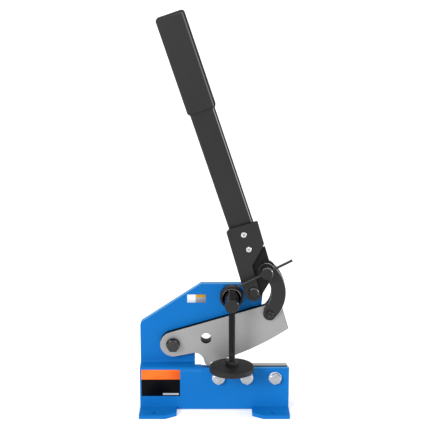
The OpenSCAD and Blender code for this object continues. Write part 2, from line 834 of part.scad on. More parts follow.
// Barrel, cross-drilled for the rod, with a threaded shank through the frame
module clamp_stud() {
    y0 = y_tall - barrel_reach;
    y_floor = y_tall - cup_floor;
    nut_h = stud_d * nut_share;
    color("#2e2e30") difference() {
        union() {
            translate([clamp_at.x, y0, clamp_at.y]) rotate([-90, 0, 0]) rotate_extrude()
                polygon([[0, 0], [barrel_d / 2 - chamfer, 0], [barrel_d / 2, chamfer],
                         [barrel_d / 2, y_floor - y0], [0, y_floor - y0]]);
            rod_y(clamp_at, y_floor - over,
                  y_back + washer_t + nut_h + tail_len - y_floor + over, stud_d);
        }
        translate([rod_at.x, rod_at.y, clamp_at.y])
            cylinder(d = rod_d + 2 * fit, h = 2 * barrel_d, center = true);
    }
}

module clamp_washer() {
    color("#2e2e30") ring_y(clamp_at, y_back, washer_t, stud_d * washer_share, stud_d + 2 * fit);
}

module clamp_nut() {
    color("#2e2e30") nut_y(clamp_at, y_back + washer_t, stud_d * nut_share, stud_af,
                           stud_d);
}

pad_z = ledge_z + edge_rise + pad_lift;

// Rod with a flange that the pad turns on, drilled for its pin
module hold_down_rod() {
    r = rod_d / 2;
    color("#2a2a2c") difference() {
        translate([rod_at.x, rod_at.y, 0]) rotate_extrude() polygon([
            [0, pad_z + run_gap], [rod_flange[0] / 2, pad_z + run_gap],
            [rod_flange[0] / 2, pad_z + run_gap + rod_flange[1]],
            [r, pad_z + run_gap + rod_flange[1]], [r, rod_top - chamfer],
            [r - chamfer, rod_top], [0, rod_top]]);
        rod_y([rod_at.x, pad_z + pad_t + rod_pin_z], rod_at.y - rod_d, 2 * rod_d,
              rod_pin_d + 2 * fit);
    }
}

module rod_pin() {
    pin_len = rod_d + chamfer;
    color("#4a4a4c") rod_y([rod_at.x, pad_z + pad_t + rod_pin_z], rod_at.y - pin_len / 2,
                           pin_len, rod_pin_d);
}

module pad_nut() {
    color("#2e2e30") translate([rod_at.x, rod_at.y, pad_z + pad_t + run_gap]) difference() {
        intersection() {
            cylinder(d = pad_nut_af / cos(30), h = pad_nut_h, $fn = 6);
            rotate_extrude() polygon([[0, 0], [pad_nut_af, 0], [pad_nut_af, pad_nut_h / 2],
                                      [pad_nut_af / 2, pad_nut_h], [0, pad_nut_h]]);
        }
        translate([0, 0, -over]) cylinder(d = rod_d + 2 * fit, h = pad_nut_h + 2 * over);
    }
}

// Pad that turns freely on the rod's foot
module hold_down_pad() {
    r = pad_d / 2;
    bore = rod_d / 2 + fit;
    pocket = rod_flange[0] / 2 + fit;
    step = 2 * run_gap + rod_flange[1];
    color("#262628") translate([rod_at.x, rod_at.y, pad_z]) rotate_extrude() polygon([
        [pocket, 0], [r - pad_chamfer, 0], [r, pad_chamfer], [r, pad_t - pad_chamfer],
        [r - pad_chamfer, pad_t], [bore, pad_t], [bore, step], [pocket, step]]);
}

front_plate();
rear_plate();
lower_blade();
blade_bolts();
blade_washers();
upper_blade();
pivot_bolt();
pivot_washer();
pivot_bush();
pivot_nut();
fulcrum_pin();
fulcrum_nut();
lever_front_plate();
lever_core_plate();
lever_rear_plate();
handle_tube();
handle_grip();
handle_bolts();
handle_nuts();
front_link();
rear_link();
link_bolt();
link_washer();
link_nut();
lock_screw();
lock_nut();
tommy_bar();
clamp_cup();
clamp_stud();
clamp_washer();
clamp_nut();
hold_down_rod();
rod_pin();
pad_nut();
hold_down_pad();
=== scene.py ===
import json
import math

import bpy
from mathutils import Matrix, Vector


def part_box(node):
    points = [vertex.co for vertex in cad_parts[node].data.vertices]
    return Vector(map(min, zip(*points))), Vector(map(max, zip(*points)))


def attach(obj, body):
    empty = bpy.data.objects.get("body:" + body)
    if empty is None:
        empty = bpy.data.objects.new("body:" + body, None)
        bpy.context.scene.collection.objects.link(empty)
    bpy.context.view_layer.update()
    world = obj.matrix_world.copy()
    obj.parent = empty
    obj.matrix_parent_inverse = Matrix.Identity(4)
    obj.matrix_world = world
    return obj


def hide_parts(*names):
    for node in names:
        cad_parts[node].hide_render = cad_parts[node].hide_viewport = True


# Looks of a bench plate shear. Lengths are in metres: X to the right, Y to the back, Z up.
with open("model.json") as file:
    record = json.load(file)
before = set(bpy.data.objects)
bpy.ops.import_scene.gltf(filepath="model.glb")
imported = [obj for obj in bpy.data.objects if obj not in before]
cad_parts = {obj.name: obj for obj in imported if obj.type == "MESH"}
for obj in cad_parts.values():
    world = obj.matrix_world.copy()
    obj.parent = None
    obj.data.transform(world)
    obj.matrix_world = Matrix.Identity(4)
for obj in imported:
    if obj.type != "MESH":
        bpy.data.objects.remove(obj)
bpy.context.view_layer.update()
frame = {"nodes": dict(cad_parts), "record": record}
nodes = frame["nodes"]
bpy.ops.object.select_all(action="DESELECT")


# Camera: the photograph was taken with a long lens from straight ahead and a little above.
# Distance and pitch come from the base's four corners and the grip's end.
view = bpy.data.cameras.new("long_lens")
view.lens = 92.1
view.sensor_width = 36
view.clip_end = 100
camera = bpy.data.objects.new("camera", view)
camera.location = (0.00094, -1.63905, 0.7053)
camera.rotation_euler = (math.radians(76.5), 0, 0)
bpy.context.scene.collection.objects.link(camera)
bpy.context.scene.camera = camera


# Studio: a white tent, brightest overhead, over a white sweep. One broad lamp stands on the left
# of the camera, and a small one far on the right draws thin light lines along edges. The camera
# sees the tent at full white, so the floor has no horizon.
def linear(colour):
    """sRGB hex to the linear colour that a shader socket takes."""
    parts = [int(colour[i:i + 2], 16) / 255 for i in (0, 2, 4)]
    return [c / 12.92 if c < 0.04045 else ((c + 0.055) / 1.055) ** 2.4 for c in parts] + [1]


def add(tree, kind, inputs, **settings):
    """Adds a node; each input is a value, or the output socket that it is linked to."""
    node = tree.nodes.new("ShaderNode" + kind)
    for name, value in settings.items():
        setattr(node, name, value)
    for name, value in inputs.items():
        if isinstance(value, bpy.types.NodeSocket):
            tree.links.new(value, node.inputs[name])
        else:
            node.inputs[name].default_value = value
    return node


def new_material(name):
    """An empty material with the object's own coordinates and the surface's normal."""
    made = bpy.data.materials.new(name)
    made.use_nodes = True
    made.node_tree.nodes.clear()
    where = add(made.node_tree, "TexCoord", {})
    return made, made.node_tree, where.outputs["Object"], where.outputs["Normal"]


scene = bpy.context.scene
scene.view_settings.view_transform = "Standard"
scene.world = bpy.data.worlds.new("white_tent")
scene.world.use_nodes = True
room = scene.world.node_tree
height = add(room, "SeparateXYZ", {0: add(room, "TexCoord", {}).outputs["Generated"]})
tent = add(room, "MapRange", {"Value": height.outputs["Z"], "From Min": 0, "From Max": 0.9,
                              "To Min": 0.5, "To Max": 1.0})
seen = add(room, "Math", {0: add(room, "LightPath", {}).outputs["Is Camera Ray"],
                          1: tent.outputs[0]}, operation="MAXIMUM")
room.links.new(seen.outputs[0], room.nodes["Background"].inputs["Strength"])
room.nodes["Background"].inputs["Color"].default_value = (1, 1, 1, 1)

for name, strength, spread, turn in [("front_lamp", 2.35, 22, (66, 0, -36)),
                                     ("edge_lamp", 2, 10, (76, 0, 86))]:
    lamp = bpy.data.lights.new(name, "SUN")
    lamp.energy = strength
    lamp.angle = math.radians(spread)
    holder = bpy.data.objects.new(name, lamp)
    holder.rotation_euler = [math.radians(a) for a in turn]
    scene.collection.objects.link(holder)

bpy.ops.mesh.primitive_plane_add(size=60)
floor = bpy.context.object
floor.name = "studio_floor"
paper, tree, _, _ = new_material("white_paper_sweep")
white = add(tree, "BsdfDiffuse", {"Color": (0.75, 0.75, 0.75, 1)})
lit = add(tree, "Emission", {"Color": (1, 1, 1, 1), "Strength": 0.36})
both = add(tree, "AddShader", {0: white.outputs[0], 1: lit.outputs[0]})
add(tree, "OutputMaterial", {"Surface": both.outputs[0]})
floor.data.materials.append(paper)
floor.select_set(False)


# Frame plates: 6 mm hot-rolled steel, laser cut, folded, and powder coated in one blue. The coat
# has an orange peel of 1 mm, and patches of 70 mm differ a little in tone. A light blue highlight
# is painted on the cut edges that face up at the top of the cheek and the jaw. The hole for round
# bar is reamed, and its bore is painted dark brown as the shade inside it.
sharp = math.radians(32)
coplanar = math.radians(0.5)


def edges_broken(node, material, width, weld=0.000002):
    """A copy that replaces a CAD node, with broken edges; points closer than weld are merged."""
    made = bpy.data.objects.new(node + "_finished", nodes[node].data.copy())
    made.data.materials.clear()
    made.data.materials.append(material)
    scene.collection.objects.link(made)
    bpy.context.view_layer.objects.active = made
    made.select_set(True)
    bpy.ops.object.mode_set(mode="EDIT")
    bpy.ops.mesh.select_all(action="SELECT")
    bpy.ops.mesh.remove_doubles(threshold=weld)
    bpy.ops.mesh.dissolve_limited(angle_limit=coplanar)
    bpy.ops.object.mode_set(mode="OBJECT")
    bpy.ops.object.shade_smooth_by_angle(angle=sharp)
    bevel = made.modifiers.new("broken_edge", "BEVEL")
    bevel.width = width
    bevel.segments = 2
    bevel.limit_method = "ANGLE"
    bevel.angle_limit = sharp
    bevel.harden_normals = True
    bpy.ops.object.modifier_apply(modifier="broken_edge")
    made.select_set(False)
    body = next(b for b, held in frame["record"]["behaviour"]["bodies"].items() if node in held)
    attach(made, body)
    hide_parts(node)
    return made


def per_metre(size):
    """A texture's scale, from the size in millimetres of one grain, patch or line in it."""
    return 1000 / size


# A Mix node has sockets for each kind of value. These are its two colours and their mixture.
first, second, mixed = 6, 7, 2

# The painted highlight lies above cheek_z, and above jaw_z where that is to the right of jaw_x.
cheek_z = 0.13
jaw_x, jaw_z = -0.005, 0.06
bar_hole_x, bar_hole_z, bar_hole_r = -0.0132, 0.11302, 0.0093
blue, tree, place, normal = new_material("powder_coated_steel_blue")
facing = add(tree, "SeparateXYZ", {0: normal})
turned = add(tree, "Math", {0: facing.outputs["Y"]}, operation="ABSOLUTE")
edge_on = add(tree, "MapRange", {"Value": turned.outputs[0], "From Min": 0.3,
                                 "From Max": 0.1})
upward = add(tree, "MapRange", {"Value": facing.outputs["Z"], "From Min": -0.1,
                                "From Max": 0.1})
top_edge = add(tree, "Math", {0: edge_on.outputs[0], 1: upward.outputs[0]},
               operation="MULTIPLY")
spot = add(tree, "SeparateXYZ", {0: place})
cheek = add(tree, "MapRange", {"Value": spot.outputs["Z"], "From Min": cheek_z - 0.01,
                               "From Max": cheek_z + 0.01})
above = add(tree, "Math", {0: spot.outputs["Z"], 1: jaw_z}, operation="GREATER_THAN")
right = add(tree, "Math", {0: spot.outputs["X"], 1: jaw_x}, operation="GREATER_THAN")
jaw = add(tree, "Math", {0: above.outputs[0], 1: right.outputs[0]}, operation="MULTIPLY")
either = add(tree, "Math", {0: cheek.outputs[0], 1: jaw.outputs[0]}, operation="MAXIMUM")
# thin is the mask of the light blue highlight painted on the cut edges that face up.
thin = add(tree, "Math", {0: top_edge.outputs[0], 1: either.outputs[0]}, operation="MULTIPLY")
patch = add(tree, "TexNoise", {"Vector": place, "Scale": per_metre(71.4), "Detail": 3,
                               "Roughness": 0.6})
paint = add(tree, "Mix", {"Factor": patch.outputs["Fac"], first: linear("0C61A9"),
                          second: linear("0C69B1")}, data_type="RGBA")
coat = add(tree, "Mix", {"Factor": thin.outputs[0], first: paint.outputs[mixed],
                         second: linear("4A8CC6")}, data_type="RGBA")
# Painted shade: the bore of the bar hole is dark brown.
hole = add(tree, "Mapping", {"Vector": place, "Location": (-bar_hole_x, 0, -bar_hole_z),
                             "Scale": (1, 0, 1)})
away = add(tree, "VectorMath", {0: hole.outputs[0]}, operation="LENGTH")
bore_shade = add(tree, "MapRange", {"Value": away.outputs["Value"],
                                "From Min": bar_hole_r + 0.0001,
                                "From Max": bar_hole_r - 0.0001})
coat = add(tree, "Mix", {"Factor": bore_shade.outputs[0], first: coat.outputs[mixed],
                         second: linear("2B2725")}, data_type="RGBA")
peel = add(tree, "TexNoise", {"Vector": place, "Scale": per_metre(1.11), "Detail": 2})
bump = add(tree, "Bump", {"Height": peel.outputs["Fac"], "Strength": 0.08,
                          "Distance": 0.0004})
gloss = add(tree, "MapRange", {"Value": patch.outputs["Fac"], "To Min": 0.36,
                               "To Max": 0.46})
surface = add(tree, "BsdfPrincipled", {
    "Base Color": coat.outputs[mixed], "Roughness": gloss.outputs[0],
    "Normal": bump.outputs[0], "Specular IOR Level": 0.07})
add(tree, "OutputMaterial", {"Surface": surface.outputs[0]})
for name in ("front_plate", "rear_plate"):
    edges_broken(name, blue, 0.0006, weld=0.00015)


# Labels: two blank stickers of printed vinyl, 0.15 mm thick with their scuffed clear film. The
# large one is orange over black, with a white strip to write on, and laps over the ledge's bend.
# The small one is white and grey with a yellow strip.
plate_t = 0.006
low_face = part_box("lower_blade")[0][1] - plate_t
cheek_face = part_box("front_plate")[1][1] - plate_t
ledge_bend_z, ledge_bend_r = 0.063, 0.007


def sticker(name, material, left, right, low, high, face, bend_z=math.inf):
    """A sheet of vinyl on a front face, from its bottom edge up, and back round a bend."""
    bpy.ops.mesh.primitive_plane_add(size=1, rotation=(math.radians(90), 0, 0))
    sheet = bpy.context.object
    sheet.name = name
    straight = min(high, bend_z)
    sheet.scale = (right - left, straight - low, 1)
    sheet.location = ((left + right) / 2, face, (low + straight) / 2)
    bpy.ops.object.transform_apply(location=True, rotation=True, scale=True)
    bpy.ops.object.mode_set(mode="EDIT")
    steps = 5
    r = ledge_bend_r
    turn = math.asin(max(high - bend_z, 0) / r)
    for i in range(steps if turn else 0):
        bpy.ops.mesh.select_all(action="DESELECT")
        bpy.ops.object.mode_set(mode="OBJECT")
        top = max(v.co.z for v in sheet.data.vertices)
        for v in sheet.data.vertices:
            v.select = v.co.z > top - 0.00001
        for e in sheet.data.edges:
            e.select = all(sheet.data.vertices[v].select for v in e.vertices)
        bpy.ops.object.mode_set(mode="EDIT")
        a, b = turn * i / steps, turn * (i + 1) / steps
        move = (0, r * (math.cos(a) - math.cos(b)), r * (math.sin(b) - math.sin(a)))
        bpy.ops.mesh.extrude_region_move(TRANSFORM_OT_translate={"value": move})
    bpy.ops.object.mode_set(mode="OBJECT")
    if not turn:
        corners = sheet.modifiers.new("round_corners", "BEVEL")
        corners.affect = "VERTICES"
        corners.width = 0.0007
        corners.segments = 3
        corners.limit_method = "NONE"
    bpy.ops.object.shade_smooth_by_angle(angle=sharp)
    film = sheet.modifiers.new("film", "SOLIDIFY")
    film.thickness = 0.00015
    film.offset = 1
    for modifier in [m.name for m in sheet.modifiers]:
        bpy.ops.object.modifier_apply(modifier=modifier)
    sheet.data.materials.append(material)
    sheet.select_set(False)
    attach(sheet, "frame")


def print_step(tree, value, edge, low, high):
    """Two printed colours that meet at a line; the ink bleeds a fifth of a millimetre."""
    bleed = 0.0001
    side = add(tree, "MapRange", {"Value": value, "From Min": edge - bleed,
                                  "From Max": edge + bleed})
    return add(tree, "Mix", {"Factor": side.outputs[0], first: low, second: high},
               data_type="RGBA").outputs[mixed]


def clear_film(tree, place, ink):
    """Finishes a label's material: clear film over the print, with scuffs of 5 mm."""
    scuff = add(tree, "TexNoise", {"Vector": place, "Scale": per_metre(4.55), "Detail": 3})
    gloss = add(tree, "MapRange", {"Value": scuff.outputs["Fac"], "To Min": 0.5,
                                   "To Max": 0.65})
    surface = add(tree, "BsdfPrincipled", {"Base Color": ink, "Roughness": gloss.outputs[0],
                                           "Specular IOR Level": 0.1})
    add(tree, "OutputMaterial", {"Surface": surface.outputs[0]})


black_ink, strip_ink = linear("020203"), linear("D8D8D8")
strip_left, strip_right, strip_low, strip_high = -0.0812, -0.0561, 0.0250, 0.0280
orange_from = 0.0509
vinyl, tree, place, _ = new_material("printed_vinyl_orange_over_black")
spot = add(tree, "SeparateXYZ", {0: place})
strip = print_step(tree, spot.outputs["Z"], strip_high, strip_ink, black_ink)
field = print_step(tree, spot.outputs["Z"], strip_low, black_ink, strip)
field = print_step(tree, spot.outputs["X"], strip_left, black_ink, field)
field = print_step(tree, spot.outputs["X"], strip_right, field, black_ink)
fade = add(tree, "TexNoise", {"Vector": place, "Scale": per_metre(16.7), "Detail": 2})
orange = add(tree, "Mix", {"Factor": fade.outputs["Fac"], first: linear("FF5E04"),
                           second: linear("E87432")}, data_type="RGBA")
clear_film(tree, place, print_step(tree, spot.outputs["Z"], orange_from, field,
                                   orange.outputs[mixed]))
sticker("blank_label_large", vinyl, left=-0.1147, right=-0.0541, low=0.0231, high=0.0665,
        face=low_face, bend_z=ledge_bend_z)

yellow_from, grey_from = 0.1775, -0.0296
vinyl, tree, place, _ = new_material("printed_vinyl_white_and_yellow")
spot = add(tree, "SeparateXYZ", {0: place})
column = print_step(tree, spot.outputs["Z"], yellow_from, linear("8E9098"), linear("B4840F"))
clear_film(tree, place, print_step(tree, spot.outputs["X"], grey_from, linear("D4D7DC"),
                                   column))
sticker("blank_label_small", vinyl, left=-0.0426, right=-0.0135, low=0.1687, high=0.1818,
        face=cheek_face)


# Blades: hardened tool steel, ground lengthwise, so fine lines run along the bright faces. Real
# lines are about 0.1 mm apart, and these are 0.4 mm so that they show. The upper blade's edges
# are left blued, nearly black. The lower blade's face against its plate is dark grey, and its
# top faces are painted lighter than its sides, as a highlight from above.
def ground_steel(name, angle, edge_colour, edge_from):
    """Bright faces with lines at an angle; edges with a normal's Z past edge_from are coloured."""
    seat_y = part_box("lower_blade")[0][1]
    made, tree, place, normal = new_material(name)
    facing = add(tree, "SeparateXYZ", {0: normal})
    turned = add(tree, "Math", {0: facing.outputs["Y"]}, operation="ABSOLUTE")
    side = add(tree, "MapRange", {"Value": turned.outputs[0], "From Min": 0.97,
                                  "From Max": 0.93})
    up = add(tree, "MapRange", {"Value": facing.outputs["Z"], "From Min": edge_from,
                                "From Max": edge_from + 0.1})
    edge = add(tree, "Math", {0: side.outputs[0], 1: up.outputs[0]}, operation="MULTIPLY")
    spot = add(tree, "SeparateXYZ", {0: place})
    # The face of the lower blade against its plate is dark grey where it shows.
    near = add(tree, "MapRange", {"Value": spot.outputs["Y"], "From Min": seat_y + 0.00085,
                                  "From Max": seat_y + 0.00045})
    flat = add(tree, "MapRange", {"Value": turned.outputs[0], "From Min": 0.5,
                                  "From Max": 0.7})
    seat = add(tree, "Math", {0: near.outputs[0], 1: flat.outputs[0]}, operation="MULTIPLY")
    along = add(tree, "Mapping", {
        "Vector": place, "Rotation": (0, math.radians(angle), 0),
        "Scale": (per_metre(16.7), per_metre(0.25), per_metre(0.4))})
    lines = add(tree, "TexNoise", {"Vector": along.outputs[0], "Scale": 1, "Detail": 3})
    stain = add(tree, "TexNoise", {"Vector": place, "Scale": per_metre(33.3), "Detail": 4,
                                   "Roughness": 0.55})
    bright = add(tree, "Mix", {"Factor": stain.outputs["Fac"], first: linear("9C9B9A"),
                               second: linear("A9A9A9")}, data_type="RGBA")
    faces = add(tree, "Mix", {"Factor": seat.outputs[0], first: bright.outputs[mixed],
                              second: linear("3A3A3C")}, data_type="RGBA")
    metal = add(tree, "Mix", {"Factor": edge.outputs[0], first: faces.outputs[mixed],
                              second: linear(edge_colour)}, data_type="RGBA")
    rough = add(tree, "MapRange", {"Value": lines.outputs["Fac"], "To Min": 0.5,
                                   "To Max": 0.7})
    bump = add(tree, "Bump", {"Height": lines.outputs["Fac"], "Strength": 0.1,
                              "Distance": 0.0002})
    surface = add(tree, "BsdfPrincipled", {
        "Base Color": metal.outputs[mixed], "Metallic": 1.0, "Roughness": rough.outputs[0],
        "Normal": bump.outputs[0]})
    add(tree, "OutputMaterial", {"Surface": surface.outputs[0]})
    return made


upper_lean = 16.6
upper_steel = ground_steel("surface_ground_tool_steel", upper_lean, "120E0B", 0.08)
# The lower blade's top faces get B8B8B6, a painted highlight lighter than its sides.
lower_steel = ground_steel("surface_ground_tool_steel_all_round", 0, "B8B8B6", 0.2)
edges_broken("upper_blade", upper_steel, 0.001)
edges_broken("lower_blade", lower_steel, 0.0004)


# Blade and handle bolts: zinc plated, as bought. The plating is bright, with a cloudy bloom of
# 5 mm where it cooled, and a white highlight is painted along the edges on top. The washers and
# the small handle bolts are whiter than the large heads, and the handle bolts' sunk centres are
# painted grey as the shade in the hollow.
def turned_band(tree, normal, toward, stop, start=0.94):
    """Mask of an edge: the normal's |Y| lies between start and stop, and it leans toward."""
    fade_in, fade_out = 0.045, 0.1
    side_from, side_full = 0.05, 0.25
    facing = add(tree, "SeparateXYZ", {0: normal})
    turned = add(tree, "Math", {0: facing.outputs["Y"]}, operation="ABSOLUTE")
    leaves = add(tree, "MapRange", {"Value": turned.outputs[0], "From Min": start + fade_in,
                                    "From Max": start})
    ends = add(tree, "MapRange", {"Value": turned.outputs[0], "From Min": stop - fade_out,
                                  "From Max": stop})
    side = add(tree, "VectorMath", {0: normal, 1: toward}, operation="DOT_PRODUCT")
    faced = add(tree, "MapRange", {"Value": side.outputs["Value"], "From Min": side_from,
                                   "From Max": side_full})
    band = add(tree, "Math", {0: leaves.outputs[0], 1: ends.outputs[0]}, operation="MULTIPLY")
    return add(tree, "Math", {0: band.outputs[0], 1: faced.outputs[0]},
               operation="MULTIPLY").outputs[0]


def zinc_plate(name, dull, bright):
    """Zinc plate clouded between two colours, and painted white on upward edges as a highlight."""
    head_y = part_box("handle_bolts")[0][1]
    made, tree, place, normal = new_material(name)
    bloom = add(tree, "TexNoise", {"Vector": place, "Scale": per_metre(5.56), "Detail": 4,
                                   "Roughness": 0.6})
    cloud = add(tree, "Mix", {"Factor": bloom.outputs["Fac"], first: linear(dull),
                              second: linear(bright)}, data_type="RGBA")
    # Painted highlight: white on the edges that face up.
    tone = add(tree, "Mix", {"Factor": turned_band(tree, normal, (0, 0, 1), 0.3),
                             first: cloud.outputs[mixed], second: linear("F6F6F8")},
               data_type="RGBA")
    # Painted shade: the handle bolts' sunk centres are grey.
    spot = add(tree, "SeparateXYZ", {0: place})
    sunk = add(tree, "MapRange", {"Value": spot.outputs["Y"], "From Min": head_y + 0.0001,
                                  "From Max": head_y + 0.00025})
    facing = add(tree, "SeparateXYZ", {0: normal})
    front = add(tree, "MapRange", {"Value": facing.outputs["Y"], "From Min": -0.3,
                                   "From Max": -0.5})
    centre = add(tree, "Math", {0: sunk.outputs[0], 1: front.outputs[0]},
                 operation="MULTIPLY")
    tone = add(tree, "Mix", {"Factor": centre.outputs[0], first: tone.outputs[mixed],
                             second: linear("A4A6AA")}, data_type="RGBA")
    rough = add(tree, "MapRange", {"Value": bloom.outputs["Fac"], "To Min": 0.28,
                                   "To Max": 0.5})
    surface = add(tree, "BsdfPrincipled", {
        "Base Color": tone.outputs[mixed], "Metallic": 1.0, "Roughness": rough.outputs[0]})
    add(tree, "OutputMaterial", {"Surface": surface.outputs[0]})
    return made


head_zinc = zinc_plate("bright_zinc_plate", "7E8287", "C8CCD1")
edges_broken("blade_bolts", head_zinc, 0.0004, weld=0.00012)
white_zinc = zinc_plate("bright_zinc_plate_white", "ACAEB2", "EEEEF0")
for name in ("blade_washers", "handle_bolts", "handle_nuts"):
    edges_broken(name, white_zinc, 0.0003, weld=0.00012)


# Lever plates, links and handle tube: mild steel in satin black powder coat, with a fine peel of
# 1 mm. A light line is painted along the edges of the links and the tube on their right, as a
# highlight, and past that line the coat is painted near black and made rough, as the shade of the
# side turned away.
handle_right = (0.9, 0, 0.43)


def satin_black(name, painted_edge_light, stop):
    """Satin coat; painted_edge_light is the highlight painted on its right edge, down to |Y| of
    stop.
    """
    made, tree, place, normal = new_material(name)
    patch = add(tree, "TexNoise", {"Vector": place, "Scale": per_metre(40), "Detail": 3})
    coat = add(tree, "Mix", {"Factor": patch.outputs["Fac"], first: linear("171718"),
                             second: linear("202021")}, data_type="RGBA")
    # Painted highlight along the edges on the right.
    tone = add(tree, "Mix", {"Factor": turned_band(tree, normal, handle_right, stop),
                             first: coat.outputs[mixed], second: linear(painted_edge_light)},
               data_type="RGBA")
    # Painted shade: past the highlight the edge turns near black and rough.
    past = turned_band(tree, normal, handle_right, 0.1, start=stop - 0.15)
    tone = add(tree, "Mix", {"Factor": past, first: tone.outputs[mixed],
                             second: linear("020202")}, data_type="RGBA")
    rough = add(tree, "MapRange", {"Value": past, "To Min": 0.36, "To Max": 0.9})
    peel = add(tree, "TexNoise", {"Vector": place, "Scale": per_metre(0.909), "Detail": 2})
    bump = add(tree, "Bump", {"Height": peel.outputs["Fac"], "Strength": 0.12,
                              "Distance": 0.0004})
    surface = add(tree, "BsdfPrincipled", {
        "Base Color": tone.outputs[mixed], "Roughness": rough.outputs[0],
        "Normal": bump.outputs[0], "Specular IOR Level": 0.28})
    add(tree, "OutputMaterial", {"Surface": surface.outputs[0]})
    return made


plate_black = satin_black("powder_coated_steel_black", "1E1E1F", 0.4)
for name in ("lever_front_plate", "lever_rear_plate"):
    edges_broken(name, plate_black, 0.0006, weld=0.00005)
link_black = satin_black("powder_coated_steel_black_painted_highlight", "A0A0A2", 0.4)
for name in ("front_link", "rear_link"):
    edges_broken(name, link_black, 0.0008, weld=0.00005)
tube_black = satin_black("powder_coated_tube_black", "888889", 0.9)
edges_broken("handle_tube", tube_black, 0.0006, weld=0.00005)


# Core plate between the two lever plates: the same steel, in patches of 11 mm. Its colour is
# darker than the coated plates on each side, as painted shade between them, and it is duller.
scale, tree, place, _ = new_material("steel_painted_shade_dark")
patch = add(tree, "TexNoise", {"Vector": place, "Scale": per_metre(11.1), "Detail": 5,
                               "Roughness": 0.6})
# Painted shade: the core plate is darker than the plates on each side.
tone = add(tree, "Mix", {"Factor": patch.outputs["Fac"], first: linear("0E0E0F"),
                         second: linear("181819")}, data_type="RGBA")
bump = add(tree, "Bump", {"Height": patch.outputs["Fac"], "Strength": 0.1,
                          "Distance": 0.0003})
surface = add(tree, "BsdfPrincipled", {
    "Base Color": tone.outputs[mixed], "Roughness": 0.5, "Normal": bump.outputs[0],
    "Specular IOR Level": 0.15})
add(tree, "OutputMaterial", {"Surface": surface.outputs[0]})
edges_broken("lever_core_plate", scale, 0.0005)


# Black fasteners, lock screw and its bar, and the hold-down's stud, pin and nut: turned steel,
# blackened in hot oxide and oiled. The film is thin, in mottles of 8 mm, and the metal shows
# through it with a soft shine. Heads and nuts have a grey highlight painted on their edges that
# face up and right, and the pivot bolt is a lighter oxide all over.
def black_oxide(name, thin, thick, painted_glint_colour):
    """Hot oxide between two colours; painted_glint_colour is the highlight painted on edges."""
    made, tree, place, normal = new_material(name)
    mottle = add(tree, "TexNoise", {"Vector": place, "Scale": per_metre(8.33), "Detail": 5,
                                    "Roughness": 0.65})
    film = add(tree, "Mix", {"Factor": mottle.outputs["Fac"], first: linear(thick),
                             second: linear(thin)}, data_type="RGBA")
    # Painted highlight on the edges that face up and right.
    tone = add(tree, "Mix", {"Factor": turned_band(tree, normal, (0.6, 0, 0.8), 0.4),
                             first: film.outputs[mixed], second: linear(painted_glint_colour)},
               data_type="RGBA")
    rough = add(tree, "MapRange", {"Value": mottle.outputs["Fac"], "To Min": 0.24,
                                   "To Max": 0.42})
    bump = add(tree, "Bump", {"Height": mottle.outputs["Fac"], "Strength": 0.1,
                              "Distance": 0.0003})
    surface = add(tree, "BsdfPrincipled", {
        "Base Color": tone.outputs[mixed], "Metallic": 0.5, "Roughness": rough.outputs[0],
        "Normal": bump.outputs[0]})
    add(tree, "OutputMaterial", {"Surface": surface.outputs[0]})
    return made


head_oxide = black_oxide("black_oxide_steel_painted_glint", "282829", "0F0F10", "6C6C6E")
for name in ("pivot_washer", "pivot_bush", "pivot_nut", "fulcrum_pin", "fulcrum_nut",
             "link_bolt", "link_washer", "link_nut", "lock_nut", "clamp_washer", "clamp_nut"):
    edges_broken(name, head_oxide, 0.0004, weld=0.00012)
edges_broken("lock_screw", head_oxide, 0.00025)
pivot_oxide = black_oxide("black_oxide_steel_lighter", "363637", "262627", "6C6C6E")
edges_broken("pivot_bolt", pivot_oxide, 0.0004, weld=0.00012)
plain_oxide = black_oxide("black_oxide_steel", "282829", "0F0F10", "282829")
for name in ("clamp_stud", "rod_pin", "pad_nut", "tommy_bar"):
    edges_broken(name, plain_oxide, 0.0003, weld=0.0001)


# Hold-down cup: turned steel in the same oxide, oiled and glossy on the rim. Its bore of 29 mm
# is painted near black and rough, as the shade inside it, and a light glint is painted on the
# bore's lip at the top.
bore_r, lip_r = 0.0145, 0.0156
cup_low, cup_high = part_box("clamp_cup")
to_axis = [-(cup_low[0] + cup_high[0]) / 2, 0, -(cup_low[2] + cup_high[2]) / 2]
bored, tree, place, normal = new_material("black_oxide_steel_turned_and_bored")
centred = add(tree, "VectorMath", {0: place, 1: to_axis}, operation="ADD")
across = add(tree, "Mapping", {"Vector": centred.outputs[0], "Scale": (1, 0, 1)})
away = add(tree, "VectorMath", {0: across.outputs[0]}, operation="LENGTH")
rim = add(tree, "MapRange", {"Value": away.outputs["Value"], "From Min": bore_r - 0.0002,
                             "From Max": bore_r + 0.0002})
grain = add(tree, "TexNoise", {"Vector": place, "Scale": per_metre(3.33), "Detail": 4,
                               "Roughness": 0.7})
skin = add(tree, "Mix", {"Factor": grain.outputs["Fac"], first: linear("161312"),
                         second: linear("2C2624")}, data_type="RGBA")
# Painted shade: the bore inside bore_r is near black.
tone = add(tree, "Mix", {"Factor": rim.outputs[0], first: linear("020202"),
                         second: skin.outputs[mixed]}, data_type="RGBA")
inside = add(tree, "MapRange", {"Value": away.outputs["Value"], "From Min": lip_r + 0.0002,
                                "From Max": lip_r - 0.0002})
